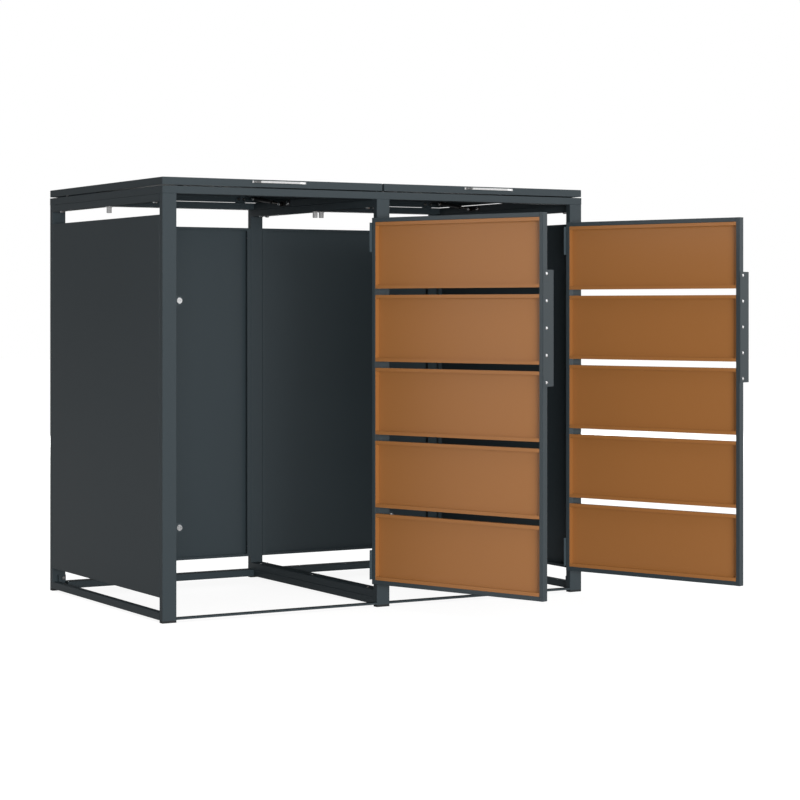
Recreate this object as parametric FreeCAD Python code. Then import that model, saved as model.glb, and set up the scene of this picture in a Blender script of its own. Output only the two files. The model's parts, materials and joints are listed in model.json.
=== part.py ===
import FreeCAD, Part
import math
import os

# Store for two wheelie bins: a steel tube frame closed by folded sheet panels,
# two side-hung doors filled with brown trays, and two sheet lids on gas struts.
# Sizes are millimetres. The origin is on the floor under the middle front foot.
# +X points to the right as seen from the front, +Y to the rear and +Z up.
# The doors are drawn closed and then swung open, as the store is shown.

# Frame sizes
BAY_WIDTH = 599.0
STORE_DEPTH = 798.0
POST_LENGTH = 1111.0
TUBE = 20.0
WIDE_TUBE = 40.0
TUBE_WALL = 1.5
TUBE_CORNER = 1.5
FOOT_HEIGHT = 6.0
PLUG_HEIGHT = 18.0
PLUG_CLEARANCE = 0.2

# Threshold bars between the front feet
THRESHOLD_HEIGHT = 5.0
THRESHOLD_LIFT = 7.0

# Angle brackets that bolt the outer bottom rails to the posts
BRACKET_WIDTH = 24.0
BRACKET_HEIGHT = 19.0
BRACKET_DEPTH = 8.0
BRACKET_SHEET = 2.5

# Folded sheet panels of the sides and the back
PANEL_BOTTOM = 65.0
PANEL_TOP_GAP = 55.0
PANEL_SHEET = 1.2
PANEL_LIP = 7.5
PANEL_SIDE_LIP = 12.0
BEND_RADIUS = 2.0

# Doors
DOOR_BOTTOM = 66.5
DOOR_TOP_GAP = 52.5
DOOR_HINGE_GAP = 6.0
DOOR_FREE_GAP = 18.0
DOOR_THICKNESS = 20.0
DOOR_BAR = 12.0
DOOR_OPEN_ANGLE = 110.2

# Brown trays in the doors
TRAY_COUNT = 5
TRAY_GAP = 17.5
TRAY_DEPTH = 15.0
TRAY_SETBACK = 4.0
TRAY_SHEET = 1.2
TRAY_LIP = 9.5

# Pull strips on the free edges of the doors
PULL_LENGTH = 300.0
PULL_BELOW_TOP = 147.5
PULL_REACH = 24.0
PULL_SHEET = 2.0
PULL_CORNER = 2.0
RIVET_COUNT = 5
RIVET_FROM_END = 10.0
RIVET_INSET = 12.5
RIVET_RADIUS = 2.0
RIVET_HEAD_RADIUS = 3.4
RIVET_HEAD_HEIGHT = 1.8
HOLE_CLEARANCE = 0.1

# Butt hinges of the doors
DOOR_HINGE_LENGTH = 80.0
DOOR_HINGE_INSET = 53.0
DOOR_HINGE_FORWARD = 6.0
DOOR_HINGE_RADIUS = 4.5
DOOR_HINGE_PIN = 2.5
DOOR_HINGE_PLATE = 2.0
DOOR_LEAF_OVERHANG = 7.0
POST_LEAF_REACH = 24.0

# Butt hinges of the lids
LID_HINGE_LENGTH = 30.0
LID_HINGE_INSET = 42.0
LID_HINGE_BACK = 5.0
LID_HINGE_RADIUS = 4.0
LID_HINGE_PIN = 2.0
LID_HINGE_PLATE = 2.0
LID_LEAF_REACH = 19.0
LID_SCREW_SPREAD = 18.0
LID_SCREW_RISE = 10.0
NUT_RADIUS = 4.5
NUT_HEIGHT = 3.5

# Fits that all hinges share
KNUCKLE_GAP = 0.4
PIN_CLEARANCE = 0.08
PLATE_START = 0.5

# Lids
LID_LIFT = 3.0
LID_HEIGHT = 20.0
LID_SHEET = 1.5
LID_SPLIT = 5.0
LID_CORNER = 2.0
LID_OPEN_ANGLE = 75.0

# Steel grips on the front of the lids, bent from strip so that their ends slope back
GRIP_LENGTH = 160.0
GRIP_HEIGHT = 5.5
GRIP_SHEET = 1.5
GRIP_PROUD = 8.0
GRIP_FOOT = 4.0
GRIP_SLOPE = 20.0
GRIP_BEND = 6.0
GRIP_BELOW_TOP = 3.5
GRIP_SHIFT = 11.0

# Buffers that the lids close on
BUFFER_RADIUS = 8.0
BUFFER_INSET_X = 62.0
BUFFER_INSET_Y = 22.0

# Gas struts, one on the right of each lid
STRUT_RAIL_FROM_PIN = 239.0
STRUT_RAIL_DROP = 10.0
STRUT_LID_FROM_PIN = 67.0
STRUT_LID_RISE = 9.0
STRUT_TUBE_RADIUS = 6.0
STRUT_BORE_RADIUS = 4.8
STRUT_TUBE_LENGTH = 114.0
STRUT_END_WALL = 3.0
STRUT_NECK_RADIUS = 4.0
STRUT_GLAND = 8.0
STRUT_ROD_RADIUS = 3.0
STRUT_ROD_OVERLAP = 15.0
STRUT_PISTON_HEIGHT = 6.0
STRUT_EYE_RADIUS = 6.0
STRUT_EYE_WIDTH = 10.0
STRUT_PIN_RADIUS = 4.0
STRUT_SIDE_GAP = 0.3
STRUT_PIN_HEAD_RADIUS = 5.5
STRUT_PIN_HEAD = 2.0
STRUT_PLATE = 2.0
STRUT_PLATE_HEIGHT = 17.0
STRUT_PLATE_FRONT = 46.0
STRUT_PLATE_REAR = 11.0
STRUT_SCREW_FRONT = 36.0
LID_PIN_LENGTH = 3.0
LID_EAR_DROP = 5.5
LID_EAR_WIDTH = 20.0
LID_EAR_FOOT = 13.0

# Magnet catches behind the free edges of the doors
CATCH_ABOVE_BOTTOM = 177.5
CATCH_BELOW_TOP = 226.5
CATCH_GAP = 0.3
CATCH_SHEET = 2.0
CATCH_PLATE_HEIGHT = 24.0
MAGNET_RADIUS = 8.0
MAGNET_THICKNESS = 5.0

# Fasteners of the frame
BOLT_HEAD_RADIUS = 6.0
BOLT_HEAD_HEIGHT = 4.0
BOLT_INSET = 50.0
SMALL_HEAD_RADIUS = 4.0
SMALL_HEAD_HEIGHT = 2.5
POST_BOLT_INSET = 8.0
PANEL_SCREW_INSET = 30.0
PANEL_SCREW_HEIGHT = 6.0
SLEEVE_RADIUS = 7.0
SLEEVE_LENGTH = 17.5
SLEEVE_FLANGE_RADIUS = 9.0
SLEEVE_FLANGE = 2.0
SLEEVE_FORWARD = 19.0

# Share of a round head's height that its rim bevels, and how near counts as the same
RIM_SHARE = 0.5
TOUCH = 1e-6

# Levels and planes that follow from the sizes above
PITCH = BAY_WIDTH + WIDE_TUBE
HALF_WIDTH = PITCH + WIDE_TUBE / 2
FRONT = -TUBE / 2
REAR = FRONT + STORE_DEPTH
MIDDLE_Y = (FRONT + REAR) / 2
POST_TOP = FOOT_HEIGHT + POST_LENGTH
FRAME_TOP = POST_TOP + TUBE
LID_BOTTOM = FRAME_TOP + LID_LIFT
TOP = LID_BOTTOM + LID_HEIGHT
DOOR_TOP = POST_TOP - DOOR_TOP_GAP
DOOR_HEIGHT = DOOR_TOP - DOOR_BOTTOM
DOOR_WIDTH = BAY_WIDTH - DOOR_HINGE_GAP - DOOR_FREE_GAP
PANEL_TOP = POST_TOP - PANEL_TOP_GAP
PANEL_HEIGHT = PANEL_TOP - PANEL_BOTTOM
PULL_TOP = DOOR_TOP - PULL_BELOW_TOP
PULL_BOTTOM = PULL_TOP - PULL_LENGTH
LID_PIN_Y = REAR + LID_HINGE_BACK
LID_PIN_Z = FRAME_TOP + LID_LIFT / 2
STRUT_RAIL_Y = LID_PIN_Y - STRUT_RAIL_FROM_PIN
STRUT_LID_Y = LID_PIN_Y - STRUT_LID_FROM_PIN

# Rails: the room between the posts, and the middles of the square tubes
POST_TO_POST = (FRONT + TUBE, REAR - TUBE)
OUTER_RAILS = (-HALF_WIDTH + TUBE / 2, HALF_WIDTH - TUBE / 2)
INNER_RAILS = (-TUBE / 2, TUBE / 2)
TOP_RAILS = OUTER_RAILS + INNER_RAILS

# Directions and turns
ZERO = FreeCAD.Vector(0, 0, 0)
X_AXIS = FreeCAD.Vector(1, 0, 0)
Y_AXIS = FreeCAD.Vector(0, 1, 0)
Z_AXIS = FreeCAD.Vector(0, 0, 1)
DOWN = FreeCAD.Vector(0, 0, -1)
DIAGONAL = FreeCAD.Vector(1, 1, 1)
THIRD_TURN = 120.0
HALF_TURN = 180.0
QUARTER_TURN = 90.0

# Each bay: its name, the middles of its two posts, the ends of its lid, and the
# inner face of the top beam that carries its strut. The outer beams are half as wide.
BAYS = (
    ("left", (-PITCH, 0.0), (-HALF_WIDTH, -LID_SPLIT / 2), -WIDE_TUBE / 2),
    ("right", (0.0, PITCH), (LID_SPLIT / 2, HALF_WIDTH), HALF_WIDTH - TUBE),
)

nodes = {}


def add(name, *solids):
    """Put solids into the node of that name."""
    nodes.setdefault(name, []).extend(solids)


def span(middle, width):
    """Low and high end of a width about a middle."""
    return (middle - width / 2, middle + width / 2)


def inset(ends, amount):
    """A span made shorter by an amount at both ends."""
    return (ends[0] + amount, ends[1] - amount)


def box(x, y, z):
    """Block between a low and a high value on each axis."""
    corner = FreeCAD.Vector(x[0], y[0], z[0])
    return Part.makeBox(x[1] - x[0], y[1] - y[0], z[1] - z[0], corner)


def edges_along(edges, axis):
    """Those edges that run along an axis."""
    chosen = []
    for edge in edges:
        direction = edge.tangentAt(edge.FirstParameter)
        if direction.cross(axis).Length < TOUCH:
            chosen.append(edge)
    return chosen


def edges_on(edges, axis, level):
    """Those edges that lie in the plane at a level of an axis."""
    chosen = []
    for edge in edges:
        heights = [vertex.Point.dot(axis) for vertex in edge.Vertexes]
        if all(abs(height - level) < TOUCH for height in heights):
            chosen.append(edge)
    return chosen


def rounded_bar(x, y, z, axis, radius):
    """Block with the edges along one axis rounded."""
    bar = box(x, y, z)
    return bar.makeFillet(radius, edges_along(bar.Edges, axis))


def tube(x, y, z, axis, closed=False):
    """Rectangular tube along an axis, with closed or open ends."""
    bar = rounded_bar(x, y, z, axis, TUBE_CORNER)
    end = TUBE_WALL if closed else -TUBE_WALL
    ends = []
    for sides, direction in ((x, X_AXIS), (y, Y_AXIS), (z, Z_AXIS)):
        along = direction == axis
        ends.append(inset(sides, end if along else TUBE_WALL))
    return bar.cut(box(*ends))


def pan(width, height, depth, sheet, lip, side_lip):
    """Folded panel: its face at y = 0, its walls to y = depth, and lips on its four walls."""
    outer = box(span(0, width), (0, depth), (0, height))
    outer = outer.makeFillet(BEND_RADIUS, edges_on(outer.Edges, Y_AXIS, 0))
    inside = inset(span(0, width), sheet)
    hollow = box(inside, (sheet, depth - sheet), (sheet, height - sheet))
    mouth_x = inset(span(0, width), side_lip)
    mouth = box(mouth_x, (sheet, depth + sheet), (lip, height - lip))
    return outer.cut(hollow.fuse(mouth))


def ordered(first, second):
    """Two values as a low and a high end."""
    return (min(first, second), max(first, second))


def placed(shape, x, y, z, turn=0.0):
    """Copy of a shape, turned about the vertical and then moved."""
    copy = shape.copy()
    copy.rotate(ZERO, Z_AXIS, turn)
    copy.translate(FreeCAD.Vector(x, y, z))
    return copy


def button(base, direction, radius, height):
    """Round head with a bevelled rim, standing on a base point."""
    rim = height * RIM_SHARE
    flat = Part.makeCylinder(radius, height - rim, base, direction)
    shoulder = base + direction * (height - rim)
    bevel = Part.makeCone(radius, radius - rim, rim, shoulder, direction)
    return flat.fuse(bevel).removeSplitter()


def hinge_leaf(plate, reach, length, radius, pin, outer):
    """Leaf of a butt hinge about a pin on the Z axis, with its share of the knuckles.

    plate is the low and high x of the plate, which runs from the pin to y = reach.
    The outer leaf has the two end knuckles and the inner leaf the middle one.
    """
    third = length / 3
    ends = [(-length / 2, -third / 2 - KNUCKLE_GAP / 2), (third / 2 + KNUCKLE_GAP / 2, length / 2)]
    middle = [(-third / 2 + KNUCKLE_GAP / 2, third / 2 - KNUCKLE_GAP / 2)]
    own, other = (ends, middle) if outer else (middle, ends)
    leaf = box(plate, (PLATE_START, reach), (-length / 2, length / 2))
    for low, high in other:
        room = radius + KNUCKLE_GAP
        base = FreeCAD.Vector(0, 0, low - KNUCKLE_GAP)
        leaf = leaf.cut(Part.makeCylinder(room, high - low + 2 * KNUCKLE_GAP, base))
    for low, high in own:
        base = FreeCAD.Vector(0, 0, low)
        leaf = leaf.fuse(Part.makeCylinder(radius, high - low, base))
    base = FreeCAD.Vector(0, 0, -length)
    bore = Part.makeCylinder(pin + PIN_CLEARANCE, 2 * length, base)
    return leaf.cut(bore).removeSplitter()


def make_posts():
    """Six posts, each on a foot cap that plugs into it."""
    for row, y in (("front", 0.0), ("rear", REAR - TUBE / 2)):
        for side, x in (("left", -PITCH), ("middle", 0.0), ("right", PITCH)):
            across = span(x, WIDE_TUBE)
            along = span(y, TUBE)
            add("post_%s_%s" % (row, side), tube(across, along, (FOOT_HEIGHT, POST_TOP), Z_AXIS))
            foot = rounded_bar(across, along, (0, FOOT_HEIGHT), Z_AXIS, TUBE_CORNER)
            room = TUBE_WALL + PLUG_CLEARANCE
            plug = box(inset(across, room), inset(along, room), (0, FOOT_HEIGHT + PLUG_HEIGHT))
            add("foot_caps", foot.fuse(plug).removeSplitter())


def make_top_frame():
    """Flat tubes on the posts, and the square rails under the side tubes."""
    level = (POST_TOP, FRAME_TOP)
    full = (-HALF_WIDTH, HALF_WIDTH)
    add("beam_front", tube(full, (FRONT, FRONT + WIDE_TUBE), level, X_AXIS, closed=True))
    add("beam_rear", tube(full, (REAR - WIDE_TUBE, REAR), level, X_AXIS, closed=True))
    between = (FRONT + WIDE_TUBE, REAR - WIDE_TUBE)
    add("beam_left", tube((-HALF_WIDTH, -HALF_WIDTH + TUBE), between, level, Y_AXIS))
    add("beam_middle", tube(span(0, WIDE_TUBE), between, level, Y_AXIS))
    add("beam_right", tube((HALF_WIDTH - TUBE, HALF_WIDTH), between, level, Y_AXIS))
    for x in TOP_RAILS:
        add("rails_top", tube(span(x, TUBE), POST_TO_POST, (POST_TOP - TUBE, POST_TOP), Y_AXIS))


def make_bottom_frame():
    """Rails just above the floor, the threshold bars, and the brackets of the outer rails."""
    low = (FOOT_HEIGHT, FOOT_HEIGHT + TUBE)
    above = (low[1], low[1] + TUBE)
    for x in OUTER_RAILS:
        add("rails_bottom_outer", tube(span(x, TUBE), POST_TO_POST, low, Y_AXIS))
    add("rail_bottom_middle", tube(span(0, WIDE_TUBE), POST_TO_POST, low, Y_AXIS))
    for x in INNER_RAILS:
        add("rails_bottom_inner", tube(span(x, TUBE), POST_TO_POST, above, Y_AXIS))
    bar = (THRESHOLD_LIFT, THRESHOLD_LIFT + THRESHOLD_HEIGHT)
    for side, posts, lid_ends, beam_face in BAYS:
        between = inset(posts, WIDE_TUBE / 2)
        rear_rail = tube(between, (REAR - WIDE_TUBE, REAR), low, X_AXIS, closed=True)
        add("rails_bottom_rear", rear_rail)
        add("thresholds", box(between, span(0, TUBE), bar))
    standing = (low[1], low[1] + BRACKET_HEIGHT)
    for side in (-1, 1):
        inner = side * (HALF_WIDTH - WIDE_TUBE)
        outer = inner + side * BRACKET_WIDTH
        for post_face, inward in zip(POST_TO_POST, (1, -1)):
            plate = (post_face, post_face + inward * BRACKET_SHEET)
            flange = (post_face, post_face + inward * BRACKET_DEPTH)
            on_post = box(ordered(inner, outer), ordered(*plate), standing)
            edge = ordered(outer, outer - side * BRACKET_SHEET)
            on_rail = box(edge, ordered(*flange), standing)
            add("rails_bottom_outer", on_post.fuse(on_rail).removeSplitter())


def make_panels():
    """Folded side and rear panels, flush with the outside of the posts."""
    folds = (TUBE, PANEL_SHEET, PANEL_LIP, PANEL_SIDE_LIP)
    long_panel = pan(POST_TO_POST[1] - POST_TO_POST[0], PANEL_HEIGHT, *folds)
    add("panel_left", placed(long_panel, -HALF_WIDTH, MIDDLE_Y, PANEL_BOTTOM, -QUARTER_TURN))
    add("panel_right", placed(long_panel, HALF_WIDTH, MIDDLE_Y, PANEL_BOTTOM, QUARTER_TURN))
    rear_panel = pan(BAY_WIDTH, PANEL_HEIGHT, *folds)
    for side, posts, lid_ends, beam_face in BAYS:
        middle = sum(posts) / 2
        add("panel_rear_" + side, placed(rear_panel, middle, REAR, PANEL_BOTTOM, HALF_TURN))


def make_fasteners():
    """Bolt heads, panel screws and the sleeve nuts under the top rails."""
    bolt_rows = (FRONT + TUBE + BOLT_INSET, REAR - TUBE - BOLT_INSET)
    for x in TOP_RAILS:
        for y in bolt_rows:
            base = FreeCAD.Vector(x, y, POST_TOP - TUBE)
            add("frame_bolts", button(base, DOWN, BOLT_HEAD_RADIUS, BOLT_HEAD_HEIGHT))
        base = FreeCAD.Vector(x, MIDDLE_Y - SLEEVE_FORWARD, POST_TOP - TUBE)
        sleeve = Part.makeCylinder(SLEEVE_RADIUS, SLEEVE_LENGTH, base, DOWN)
        flange = Part.makeCylinder(SLEEVE_FLANGE_RADIUS, SLEEVE_FLANGE, base, DOWN)
        add("sleeve_nuts", sleeve.fuse(flange))
    for x in INNER_RAILS:
        for y in (bolt_rows[0], MIDDLE_Y, bolt_rows[1]):
            base = FreeCAD.Vector(x, y, FOOT_HEIGHT + 2 * TUBE)
            add("frame_bolts", button(base, Z_AXIS, SMALL_HEAD_RADIUS, SMALL_HEAD_HEIGHT))
    bracket_middle = FOOT_HEIGHT + TUBE + BRACKET_HEIGHT / 2
    for x in inset((-HALF_WIDTH, HALF_WIDTH), WIDE_TUBE - POST_BOLT_INSET):
        for y, inward in zip(POST_TO_POST, (Y_AXIS, -Y_AXIS)):
            base = FreeCAD.Vector(x, y, bracket_middle) + inward * BRACKET_SHEET
            add("frame_bolts", button(base, inward, BOLT_HEAD_RADIUS, BOLT_HEAD_HEIGHT))
    for side, posts, lid_ends, beam_face in BAYS:
        for x, inward in zip(inset(posts, WIDE_TUBE / 2 + PANEL_SHEET), (X_AXIS, -X_AXIS)):
            for z in inset((PANEL_BOTTOM, PANEL_TOP), PANEL_SCREW_INSET):
                base = FreeCAD.Vector(x, REAR - TUBE / 2, z)
                add("frame_bolts", button(base, inward, SMALL_HEAD_RADIUS, PANEL_SCREW_HEIGHT))


def make_catches(left_post):
    """Two angle brackets on the post, each with a round magnet in line with the door's edge."""
    face = left_post + WIDE_TUBE / 2
    inner_plane = FRONT + DOOR_THICKNESS
    plate_front = inner_plane + CATCH_GAP + MAGNET_THICKNESS
    plate_rear = plate_front + CATCH_SHEET
    for z in (DOOR_BOTTOM + CATCH_ABOVE_BOTTOM, DOOR_TOP - CATCH_BELOW_TOP):
        height = span(z, CATCH_PLATE_HEIGHT)
        on_post = box((face, face + CATCH_SHEET), (FRONT + CATCH_SHEET, plate_rear), height)
        reach = DOOR_FREE_GAP + MAGNET_RADIUS
        across = box((face, face + reach), (plate_front, plate_rear), height)
        add("catch_brackets", on_post.fuse(across).removeSplitter())
        base = FreeCAD.Vector(face + DOOR_FREE_GAP, plate_front - MAGNET_THICKNESS, z)
        add("catch_magnets", Part.makeCylinder(MAGNET_RADIUS, MAGNET_THICKNESS, base, Y_AXIS))


def make_door(side, right_post):
    """Door of one bay: frame bars, trays, pull strip, rivets and hinge leaves."""
    post_face = right_post - WIDE_TUBE / 2
    hinge_end = post_face - DOOR_HINGE_GAP
    free_end = hinge_end - DOOR_WIDTH
    depth = (FRONT, FRONT + DOOR_THICKNESS)
    height = (DOOR_BOTTOM, DOOR_TOP)
    pin = FreeCAD.Vector(post_face - DOOR_HINGE_GAP / 2, FRONT - DOOR_HINGE_FORWARD, 0)
    name = "door_%s_" % side

    def hang(node, *solids):
        """Put solids into a node of this door, swung open about the hinge pin."""
        for solid in solids:
            turned = solid.copy()
            turned.rotate(pin, Z_AXIS, DOOR_OPEN_ANGLE)
            add(name + node, turned)

    rivet_holes = []
    shank_length = PULL_SHEET + TUBE_WALL
    rivet_pitch = (PULL_LENGTH - 2 * RIVET_FROM_END) / (RIVET_COUNT - 1)
    for index in range(RIVET_COUNT):
        z = PULL_BOTTOM + RIVET_FROM_END + index * rivet_pitch
        start = FreeCAD.Vector(free_end - PULL_SHEET, depth[1] - RIVET_INSET, z)
        shank = Part.makeCylinder(RIVET_RADIUS, shank_length, start, X_AXIS)
        head = button(start, -X_AXIS, RIVET_HEAD_RADIUS, RIVET_HEAD_HEIGHT)
        hang("rivets", shank.fuse(head))
        hole = Part.makeCylinder(RIVET_RADIUS + HOLE_CLEARANCE, shank_length, start, X_AXIS)
        rivet_holes.append(hole)
    holes = Part.makeCompound(rivet_holes)

    inner = (free_end + DOOR_BAR, hinge_end - DOOR_BAR)
    free_stile = tube((free_end, inner[0]), depth, height, Z_AXIS, closed=True).cut(holes)
    hinge_stile = tube((inner[1], hinge_end), depth, height, Z_AXIS, closed=True)
    bottom_bar = tube(inner, depth, (DOOR_BOTTOM, DOOR_BOTTOM + DOOR_BAR), X_AXIS)
    top_bar = tube(inner, depth, (DOOR_TOP - DOOR_BAR, DOOR_TOP), X_AXIS)
    hang("frame", free_stile, hinge_stile, bottom_bar, top_bar)

    filled = DOOR_HEIGHT - 2 * DOOR_BAR - (TRAY_COUNT - 1) * TRAY_GAP
    tray_height = filled / TRAY_COUNT
    folds = (TRAY_DEPTH, TRAY_SHEET, TRAY_LIP, TRAY_SHEET)
    tray = pan(inner[1] - inner[0], tray_height, *folds)
    for index in range(TRAY_COUNT):
        top = DOOR_TOP - DOOR_BAR - index * (tray_height + TRAY_GAP)
        middle = (inner[0] + inner[1]) / 2
        hang("tray_%d" % (index + 1), placed(tray, middle, FRONT + TRAY_SETBACK, top - tray_height))

    strip_x = (free_end - PULL_SHEET, free_end)
    strip = box(strip_x, (FRONT - PULL_REACH, depth[1]), (PULL_BOTTOM, PULL_TOP))
    corners = edges_on(edges_along(strip.Edges, X_AXIS), Y_AXIS, FRONT - PULL_REACH)
    strip = strip.makeFillet(PULL_CORNER, corners)
    hang("pull", strip.cut(holes))

    half_gap = DOOR_HINGE_GAP / 2
    door_plate = (-half_gap, -half_gap + DOOR_HINGE_PLATE)
    post_plate = (half_gap - DOOR_HINGE_PLATE, half_gap)
    door_reach = DOOR_HINGE_FORWARD + DOOR_THICKNESS + DOOR_LEAF_OVERHANG
    barrel = (DOOR_HINGE_LENGTH, DOOR_HINGE_RADIUS, DOOR_HINGE_PIN)
    for z in (DOOR_BOTTOM + DOOR_HINGE_INSET, DOOR_TOP - DOOR_HINGE_INSET):
        leaf = hinge_leaf(door_plate, door_reach, *barrel, outer=False)
        hang("hinge_leaves", placed(leaf, pin.x, pin.y, z))
        leaf = hinge_leaf(post_plate, POST_LEAF_REACH, *barrel, outer=True)
        add("door_hinge_post_leaves", placed(leaf, pin.x, pin.y, z))
        base = FreeCAD.Vector(pin.x, pin.y, z - DOOR_HINGE_LENGTH / 2)
        add("door_hinge_post_leaves", Part.makeCylinder(DOOR_HINGE_PIN, DOOR_HINGE_LENGTH, base))


def along_x(leaf, upward):
    """Turn a hinge leaf so that its pin lies along X and its plate stands up or hangs down."""
    turned = leaf.copy()
    turned.rotate(ZERO, DIAGONAL, THIRD_TURN)
    if not upward:
        turned.rotate(ZERO, Y_AXIS, HALF_TURN)
    return turned


def make_grip():
    """Strip bent outwards from the lid at y = 0, with its two ends sloping back to flat feet."""
    rise = GRIP_PROUD - GRIP_SHEET
    run = rise / math.tan(math.radians(GRIP_SLOPE))
    lean = GRIP_SHEET * math.tan(math.radians(GRIP_SLOPE / 2))
    end = GRIP_LENGTH / 2
    foot = end - GRIP_FOOT
    half = [
        (foot - run - lean, -rise),
        (foot - lean, 0),
        (end, 0),
        (end, -GRIP_SHEET),
        (foot, -GRIP_SHEET),
        (foot - run, -GRIP_PROUD),
    ]
    mirrored = [(-x, y) for x, y in reversed(half)]
    outline = half + mirrored + half[:1]
    face = Part.Face(Part.makePolygon([FreeCAD.Vector(x, y, 0) for x, y in outline]))
    strip = face.extrude(Z_AXIS * GRIP_HEIGHT)
    bends = edges_on(edges_along(strip.Edges, Z_AXIS), Y_AXIS, -GRIP_PROUD)
    return strip.makeFillet(GRIP_BEND, bends)


def make_lid(side, ends):
    """Lid of one bay: folded sheet, steel grip, rear hinges and front buffers."""
    name = "lid_" + side
    shell = box(ends, (FRONT, REAR), (LID_BOTTOM, TOP))
    rounded = edges_on(shell.Edges, Z_AXIS, TOP) + edges_along(shell.Edges, Z_AXIS)
    shell = shell.makeFillet(LID_CORNER, rounded)
    room = (LID_BOTTOM - LID_SHEET, TOP - LID_SHEET)
    add(name, shell.cut(box(inset(ends, LID_SHEET), inset((FRONT, REAR), LID_SHEET), room)))

    middle = (ends[0] + ends[1]) / 2 + GRIP_SHIFT
    add(name + "_grip", placed(make_grip(), middle, FRONT, TOP - GRIP_BELOW_TOP - GRIP_HEIGHT))

    plate = (-LID_HINGE_BACK, -LID_HINGE_BACK + LID_HINGE_PLATE)
    barrel = (LID_HINGE_LENGTH, LID_HINGE_RADIUS, LID_HINGE_PIN)
    for x in inset(ends, LID_HINGE_INSET):
        lid_leaf = along_x(hinge_leaf(plate, LID_LEAF_REACH, *barrel, outer=False), True)
        add(name + "_hinge_leaves", placed(lid_leaf, x, LID_PIN_Y, LID_PIN_Z))
        frame_leaf = along_x(hinge_leaf(plate, LID_LEAF_REACH, *barrel, outer=True), False)
        add("lid_hinge_frame_leaves", placed(frame_leaf, x, LID_PIN_Y, LID_PIN_Z))
        base = FreeCAD.Vector(x - LID_HINGE_LENGTH / 2, LID_PIN_Y, LID_PIN_Z)
        pin = Part.makeCylinder(LID_HINGE_PIN, LID_HINGE_LENGTH, base, X_AXIS)
        add("lid_hinge_frame_leaves", pin)
        for screw_x in span(x, LID_SCREW_SPREAD):
            base = FreeCAD.Vector(screw_x, REAR - LID_SHEET, LID_BOTTOM + LID_SCREW_RISE)
            nut = Part.makeCylinder(NUT_RADIUS, NUT_HEIGHT, base, -Y_AXIS)
            add(name + "_hinge_leaves", nut)
    for x in inset(ends, BUFFER_INSET_X):
        base = FreeCAD.Vector(x, FRONT + BUFFER_INSET_Y, FRAME_TOP)
        add("lid_buffers", Part.makeCylinder(BUFFER_RADIUS, LID_LIFT, base))


def strut_layout():
    """Pivot places of a strut with the lid closed and open, as (y, z) about the lid's pin."""
    rail = (-STRUT_RAIL_FROM_PIN, FRAME_TOP - STRUT_RAIL_DROP - LID_PIN_Z)
    closed = (-STRUT_LID_FROM_PIN, LID_BOTTOM + STRUT_LID_RISE - LID_PIN_Z)
    turn = math.radians(LID_OPEN_ANGLE)
    opened = (
        closed[0] * math.cos(turn) + closed[1] * math.sin(turn),
        -closed[0] * math.sin(turn) + closed[1] * math.cos(turn),
    )
    return rail, closed, opened


def reach_of(rail, lid_end):
    """Length and slope in degrees of the line from the rail pivot to the lid pivot."""
    run = lid_end[0] - rail[0]
    rise = lid_end[1] - rail[1]
    return math.hypot(run, rise), math.degrees(math.atan2(rise, run))


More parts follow.
